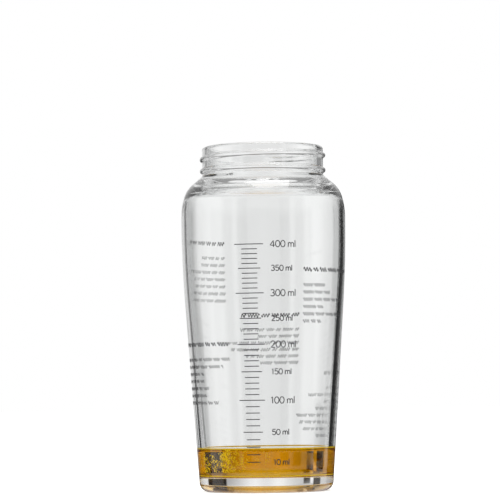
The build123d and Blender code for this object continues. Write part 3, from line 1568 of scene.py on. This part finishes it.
@dataclass
class PaintedEdgeRings:
    """Thin glowing rings along the oil's upper and lower edges, where it meets the glass: painted
    light for the bright lines there.

    Upper and lower each give the height of a ring's middle and the radius of its section.
    """

    body: GlassBody
    upper: Point = (millimetres(21.45), millimetres(0.28))
    lower: Point = (millimetres(8.3), millimetres(0.3))
    bite: float = millimetres(0.05)
    sides: int = 8

    def ring(
        self, radius: float, height: float, size: float, base: int
    ) -> tuple[list[Vector], list[Face]]:
        """A thin closed ring about the axis.

        Args:
            radius: Radius of the ring's middle.
            height: Height of its middle.
            size: Radius of its section.
            base: Number of its first vertex.

        Returns:
            Its vertices and outward faces.
        """
        segments = self.body.segments
        vertices, faces = [], []
        for segment in range(segments):
            angle = math.tau * segment / segments
            for side in range(self.sides):
                turn = math.tau * side / self.sides
                out, up = size * math.cos(turn), size * math.sin(turn)
                vertices.append(around(radius + out, angle, height + up))
        for segment in range(segments):
            here = base + self.sides * segment
            ahead = base + self.sides * ((segment + 1) % segments)
            for side in range(self.sides):
                following = (side + 1) % self.sides
                faces.append((here + side, ahead + side, ahead + following, here + following))
        return vertices, faces

    def build(self, finish: bpy.types.Material) -> bpy.types.Object:
        """Lays the rings of painted light.

        Args:
            finish: The rings' glowing finish.

        Returns:
            The piece.
        """
        vertices, faces = [], []
        # Painted light: a glowing ring at each of the oil's two lines along the glass
        for height, size in (self.upper, self.lower):
            radius = self.body.inner_radius(height) + self.bite
            points, skin = self.ring(radius, height, size, len(vertices))
            vertices += points
            faces += skin
        made = new_object("painted_oil_edge_rings", vertices, faces)
        made.data.materials.append(finish)
        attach(made, Body.BOTTLE.value)
        return made


# Lid


@dataclass
class Lid:
    """The lid's CAD nodes, each given its own finish."""

    plastic: MouldedPlastic = MouldedPlastic(
        "grained_cap_plastic",
        color=(0.05, 0.052, 0.056, 1.0),
        tint=(0.066, 0.068, 0.072, 1.0),
        cell=millimetres(0.35),
        depth=millimetres(0.02),
        roughness=0.52,
    )
    spout: MouldedPlastic = MouldedPlastic(
        "smooth_spout_plastic",
        color=(0.045, 0.047, 0.05, 1.0),
        tint=(0.06, 0.062, 0.066, 1.0),
        cell=millimetres(0.8),
        depth=millimetres(0.003),
        roughness=0.3,
    )
    sleeve: BrushedSteel = BrushedSteel("brushed_sleeve_steel", stretch=(30.0, 30.0, 8000.0))
    pin: BrushedSteel = BrushedSteel("ground_pin_steel", stretch=(9000.0, 60.0, 60.0))
    seal: Silicone = Silicone()

    def build(self, effects: Effects) -> list[bpy.types.Object]:
        """Dresses the lid.

        Args:
            effects: The shared shader groups.

        Returns:
            The dressed pieces.
        """
        plastic, seal = self.plastic.build(effects), self.seal.build(effects)
        finishes = {
            "screw_cap": plastic,
            "flip_lid": plastic,
            "pour_spout": self.spout.build(effects),
            "cap_sleeve": self.sleeve.build(effects),
            "hinge_pin": self.pin.build(effects),
            "cap_gasket": seal,
            "flip_plug": seal,
        }
        made = []
        for name, finish in finishes.items():
            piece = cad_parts[name]
            for slot in piece.material_slots:
                slot.material = finish
            made.append(piece)
        return made


# Studio

FULL_TURN = 360.0
HALF_TURN = 180.0


def shares(stops: Iterable[Point], width: float) -> list[Point]:
    """Stops that lie about 0 in a width, moved to lie from 0 to 1."""
    return [(place / width + 0.5, level) for place, level in stops]


@dataclass(frozen=True)
class Backdrop:
    """The lit screen behind the bottle with dark cards on it, seen only through glass.

    The stops give its brightness from left to right, and the low shares what that is
    multiplied by near the table. Under the open heights it is plain, and at the neck's it
    is never darker than the least level.
    """

    distance: float = 0.4
    reach: float = 1.2
    bottom: float = -0.3
    top: float = 0.45
    stops: tuple[Point, ...] = (
        (-1.2, 0.6),
        (-0.32, 0.6),
        (-0.318, 0.02),
        (-0.23, 0.02),
        (-0.228, 0.6),
        (-0.15, 0.52),
        (-0.11, 0.62),
        (-0.085, 0.76),
        (-0.055, 0.92),
        (-0.035, 0.94),
        (-0.015, 0.84),
        (0.0, 0.81),
        (0.015, 0.84),
        (0.035, 0.94),
        (0.055, 0.92),
        (0.085, 0.76),
        (0.11, 0.64),
        (0.14, 0.54),
        (0.175, 0.45),
        (0.177, 0.015),
        (0.42, 0.015),
        (0.425, 0.8),
        (0.5, 0.95),
        (1.2, 0.95),
    )
    low_shares: tuple[Point, ...] = (
        (-1.2, 1.1),
        (-0.3, 1.1),
        (-0.23, 1.7),
        (-0.2, 1.7),
        (-0.198, 0.06),
        (-0.153, 0.06),
        (-0.151, 1.2),
        (-0.08, 1.0),
        (0.0, 1.0),
        (0.05, 0.97),
        (0.08, 0.95),
        (0.15, 0.9),
        (0.3, 1.0),
        (0.42, 1.25),
        (1.2, 1.25),
    )
    low_heights: Point = (0.026, 0.045)
    open_heights: Point = (-0.12, -0.03)
    open_level: float = 0.85
    neck_heights: Point = (0.18, 0.192)
    neck_least: float = 0.3

    def build(self) -> bpy.types.Object:
        """Hangs the screen.

        Returns:
            The screen.
        """
        rows = ((-self.reach, self.reach), (self.reach, -self.reach))
        corners = [(x, z) for z, row in zip((self.bottom, self.top), rows) for x in row]
        spots = [Vector((x, self.distance, z)) for x, z in corners]
        screen = new_object("lit_screen", spots, [(0, 1, 2, 3)], smooth=False)
        finish = Finish("lit_screen")
        graph = finish.graph
        place = graph.node("ShaderNodeTexCoord").outputs["Object"]
        parts = graph.node("ShaderNodeSeparateXYZ", {0: place}).outputs
        across = graph.span(parts["X"], (-self.reach, self.reach), (0.0, 1.0))
        level, low_share = (
            graph.ramp(across, shares(stops, 2 * self.reach))
            for stops in (self.stops, self.low_shares)
        )
        least = graph.span(parts["Z"], self.neck_heights, (0.0, self.neck_least), smooth=True)
        level = graph.math("MAXIMUM", level, least)
        lowness = graph.span(parts["Z"], self.low_heights, (1.0, 0.0), smooth=True)
        share = graph.blend(lowness, 1.0, low_share)
        below = graph.span(parts["Z"], self.open_heights, (1.0, 0.0), smooth=True)
        shade = graph.blend(below, graph.math("MULTIPLY", level, share), self.open_level)
        finish.set(
            Base_Color=BLACK,
            Roughness=1.0,
            Specular_IOR_Level=0.0,
            Emission_Color=WHITE,
            Emission_Strength=shade,
        )
        screen.data.materials.append(finish.material)
        finish.material.cycles.emission_sampling = "NONE"
        screen.visible_camera = screen.visible_diffuse = screen.visible_shadow = False
        screen.visible_glossy = False
        return screen


@dataclass(frozen=True)
class Surround:
    """The world: how bright the set is all round, as seen through glass and as mirrored.

    Stops go by azimuth, in degrees from behind the bottle towards +X, but for those of
    beyond, which go by elevation. The splits, starts and ends are ranges of elevation over
    which one level passes into the next. Rays of other kinds meet the soft light.
    """

    soft_light: float = 0.6
    through_glass: tuple[Point, ...] = (
        (-180, 0.92),
        (-156, 0.5),
        (-155, 0.06),
        (-140, 0.06),
        (-139, 0.8),
        (-132, 0.7),
        (-131, 0.06),
        (-116, 0.06),
        (-115, 0.85),
        (-60, 0.9),
        (0, 1.0),
        (60, 0.9),
        (115, 0.85),
        (116, 0.06),
        (131, 0.06),
        (132, 0.7),
        (139, 0.8),
        (140, 0.06),
        (155, 0.06),
        (156, 0.5),
        (180, 0.92),
    )
    mirrored: tuple[Point, ...] = (
        (-180, 0.01),
        (-103, 0.01),
        (-98, 0.9),
        (-66, 1.0),
        (-62, 0.1),
        (-46, 0.1),
        (-36, 0.85),
        (-4, 0.85),
        (0, 0.06),
        (62, 0.1),
        (66, 1.15),
        (106, 1.15),
        (111, 0.01),
        (180, 0.01),
    )
    mirrored_low: tuple[Point, ...] = (
        (-180, 0.01),
        (-103, 0.01),
        (-98, 0.9),
        (-76, 0.9),
        (-72, 0.03),
        (0, 0.02),
        (54, 0.03),
        (58, 1.1),
        (97, 1.15),
        (102, 0.01),
        (180, 0.01),
    )
    mirrored_split: Point = (-4.0, -0.5)
    low_end: Point = (-16.0, -12.0)
    high_end: Point = (21.0, 25.0)
    high_gloss_end: Point = (5.0, 14.0)
    beyond: tuple[Point, ...] = (
        (-90, 0.9),
        (10, 0.9),
        (12, 0.08),
        (32, 0.08),
        (37, 0.9),
        (90, 0.9),
    )
    high_shares: tuple[Point, ...] = (
        (-180, 1.0),
        (-100, 1.0),
        (-90, 0.28),
        (90, 0.28),
        (100, 1.0),
        (180, 1.0),
    )
    high_share_start: Point = (10.0, 20.0)
    overhead_gloss: float = 0.85

    def levels(self, graph: Graph) -> tuple[bpy.types.NodeSocket, bpy.types.NodeSocket]:
        """Works out the brightness in each direction.

        Args:
            graph: The world's graph.

        Returns:
            The level seen through glass and the level that glossy surfaces mirror.
        """
        direction = graph.node("ShaderNodeTexCoord").outputs["Generated"]
        parts = graph.node("ShaderNodeSeparateXYZ", {0: direction}).outputs
        turn = graph.math("ARCTAN2", parts["X"], parts["Y"])
        azimuth = graph.span(turn, (-math.pi, math.pi), (0.0, 1.0))
        elevation = graph.math("MULTIPLY", graph.math("ARCSINE", parts["Z"]), math.degrees(1))
        through, mirrored, mirrored_low, high_share = (
            graph.ramp(azimuth, shares(stops, FULL_TURN))
            for stops in (self.through_glass, self.mirrored, self.mirrored_low, self.high_shares)
        )
        raised = graph.span(elevation, self.mirrored_split, (0.0, 1.0), smooth=True)
        mirrored = graph.blend(raised, mirrored_low, mirrored)
        tilt = graph.span(elevation, (-HALF_TURN / 2, HALF_TURN / 2), (0.0, 1.0))
        beyond = graph.ramp(tilt, shares(self.beyond, HALF_TURN))
        up = graph.span(elevation, self.high_share_start, (0.0, 1.0), smooth=True)
        beyond = graph.math("MULTIPLY", beyond, graph.blend(up, 1.0, high_share))
        low = graph.span(elevation, self.low_end, (0.0, 1.0), smooth=True)
        seen = []
        for level, high_end, overhead in (
            (through, self.high_end, beyond),
            (mirrored, self.high_gloss_end, self.overhead_gloss),
        ):
            high = graph.span(elevation, high_end, (1.0, 0.0), smooth=True)
            seen.append(graph.blend(graph.math("MULTIPLY", low, high), overhead, level))
        return seen[0], seen[1]

    def build(self) -> None:
        """Makes the world: white to the camera, carded to glass, softer to the rest."""
        world = bpy.data.worlds.new("white_surround")
        world.use_nodes = True
        world.node_tree.nodes.clear()
        bpy.context.scene.world = world
        graph = Graph(world.node_tree)
        path = graph.node("ShaderNodeLightPath").outputs
        through, mirrored = self.levels(graph)
        level = self.soft_light
        for ray, seen in (
            ("Is Glossy Ray", mirrored),
            ("Is Transmission Ray", through),
            ("Is Camera Ray", 1.0),
        ):
            level = graph.blend(path[ray], level, seen)
        light = graph.node("ShaderNodeBackground", {"Color": WHITE, "Strength": level})
        output = graph.node("ShaderNodeOutputWorld")
        graph.feed(output.inputs["Surface"], light.outputs[0])


@dataclass(frozen=True)
class PaleFloor:
    """The floor: white to the camera but for a soft shadow, and left out of the glass."""

    drop: float = millimetres(0.1)
    reach: float = 6.0
    color: Color = (0.8, 0.8, 0.8, 1.0)
    tint: Color = (0.84, 0.84, 0.84, 1.0)
    cloud: float = millimetres(80)
    roughness: Point = (0.75, 0.9)
    glow: float = 0.62

    def build(self, effects: Effects) -> bpy.types.Object:
        """Lays the floor.

        Args:
            effects: The shared shader groups.

        Returns:
            The floor.
        """
        reach = self.reach
        corners = [(-reach, -reach), (reach, -reach), (reach, reach), (-reach, reach)]
        spots = [Vector((x, y, -self.drop)) for x, y in corners]
        floor = new_object("pale_floor", spots, [(0, 1, 2, 3)], smooth=False)
        finish = Finish("pale_floor")
        graph = finish.graph
        clouds = finish.effect(effects.grain, Cloud=self.cloud).outputs["Tone"]
        to_camera = graph.node("ShaderNodeLightPath").outputs["Is Camera Ray"]
        finish.set(
            Base_Color=graph.mix(clouds, self.color, self.tint),
            Roughness=graph.span(clouds, TONES, self.roughness),
            Specular_IOR_Level=0.0,
            Emission_Color=WHITE,
            Emission_Strength=graph.math("MULTIPLY", to_camera, self.glow),
        )
        floor.data.materials.append(finish.material)
        floor.visible_transmission = False
        floor.visible_glossy = False
        return floor


@dataclass(frozen=True)
class SoftLamp:
    """A large square lamp that looks at the bottle, its power in watts."""

    name: str
    place: Triple
    width: float
    power: float
    mirrored: bool
    target: Triple = (0.05, 0.0, 0.08)

    def build(self) -> bpy.types.Object:
        """Hangs the lamp, mirrored or not by glossy surfaces.

        Returns:
            The lamp.
        """
        data = bpy.data.lights.new(self.name, "AREA")
        data.shape, data.size, data.energy = "SQUARE", self.width, self.power
        lamp = bpy.data.objects.new(self.name, data)
        lamp.location = self.place
        sight = Vector(self.target) - Vector(self.place)
        lamp.rotation_euler = sight.to_track_quat("-Z", "Y").to_euler()
        lamp.visible_glossy, lamp.visible_transmission = self.mirrored, False
        bpy.context.scene.collection.objects.link(lamp)
        return lamp


@dataclass(frozen=True)
class PhotoCamera:
    """The camera, where the photograph was taken from, and how its picture is traced.

    It is aimed by its turns in degrees about X, Y and Z. The lens and the sensor's width are
    in millimetres. The bounces limit the light's path in all, then through glass, off glossy
    surfaces and through open ones.
    """

    eye: Triple = (0.0, -1.2316, 0.0482)
    aim: Triple = (93.290, 0.716, 0.355)
    lens: float = 179.18
    sensor: float = 36.0
    clip: Point = (0.05, 50.0)
    bounces: int = 48
    glass_bounces: int = 40
    mirror_bounces: int = 10
    open_bounces: int = 12

    def build(self) -> bpy.types.Object:
        """Puts the camera in its place.

        Returns:
            The camera.
        """
        data = bpy.data.cameras.new("photo_camera")
        data.lens, data.sensor_width = self.lens, self.sensor
        data.clip_start, data.clip_end = self.clip
        camera = bpy.data.objects.new("photo_camera", data)
        camera.location = self.eye
        camera.rotation_euler = [math.radians(angle) for angle in self.aim]
        bpy.context.scene.collection.objects.link(camera)
        bpy.context.scene.camera = camera
        return camera

    def set_view(self) -> None:
        """Sets the plain view transform and enough light bounces for thick glass."""
        scene = bpy.context.scene
        scene.view_settings.view_transform = "Standard"
        scene.cycles.max_bounces = self.bounces
        scene.cycles.transmission_bounces = self.glass_bounces
        scene.cycles.glossy_bounces = self.mirror_bounces
        scene.cycles.transparent_max_bounces = self.open_bounces


@dataclass(frozen=True)
class Studio:
    """The camera, the white surround, the screen with its cards, the floor and the lamps."""

    camera: PhotoCamera = PhotoCamera()
    surround: Surround = Surround()
    backdrop: Backdrop = Backdrop()
    floor: PaleFloor = PaleFloor()
    lamps: tuple[SoftLamp, ...] = (
        SoftLamp("left_softbox", place=(-1.2, -0.4, 1.0), width=0.7, power=7.0, mirrored=False),
        SoftLamp("overhead_softbox", place=(0.12, -0.27, 1.1), width=0.7, power=5.7, mirrored=True),
    )

    def build(self, effects: Effects) -> None:
        """Sets up the whole studio.

        Args:
            effects: The shared shader groups.
        """
        self.camera.set_view()
        self.camera.build()
        self.surround.build()
        self.backdrop.build()
        self.floor.build(effects)
        for lamp in self.lamps:
            lamp.build()


def main() -> None:
    """Builds every piece in order."""
    logging.basicConfig(level=logging.INFO, format="%(name)s %(message)s")
    effects = Effects()
    Studio().build(effects)
    body = GlassBody()
    body.build(ClearGlass().build(effects))
    Oil(body).build(AmberOil().build(effects))
    # The froth's finish glows with painted light, on the bubbles and on the painted rings along the
    # oil's top and bottom
    froth = OilFroth().build(effects)
    Froth(body).build(froth)
    PaintedEdgeRings(body).build(froth)
    ink = FiredPrint().build(effects)
    VolumeScale(body).build(ink)
    PrintedNotes(body).build(ink)
    Lid().build(effects)


if __name__ == "__main__":
    main()
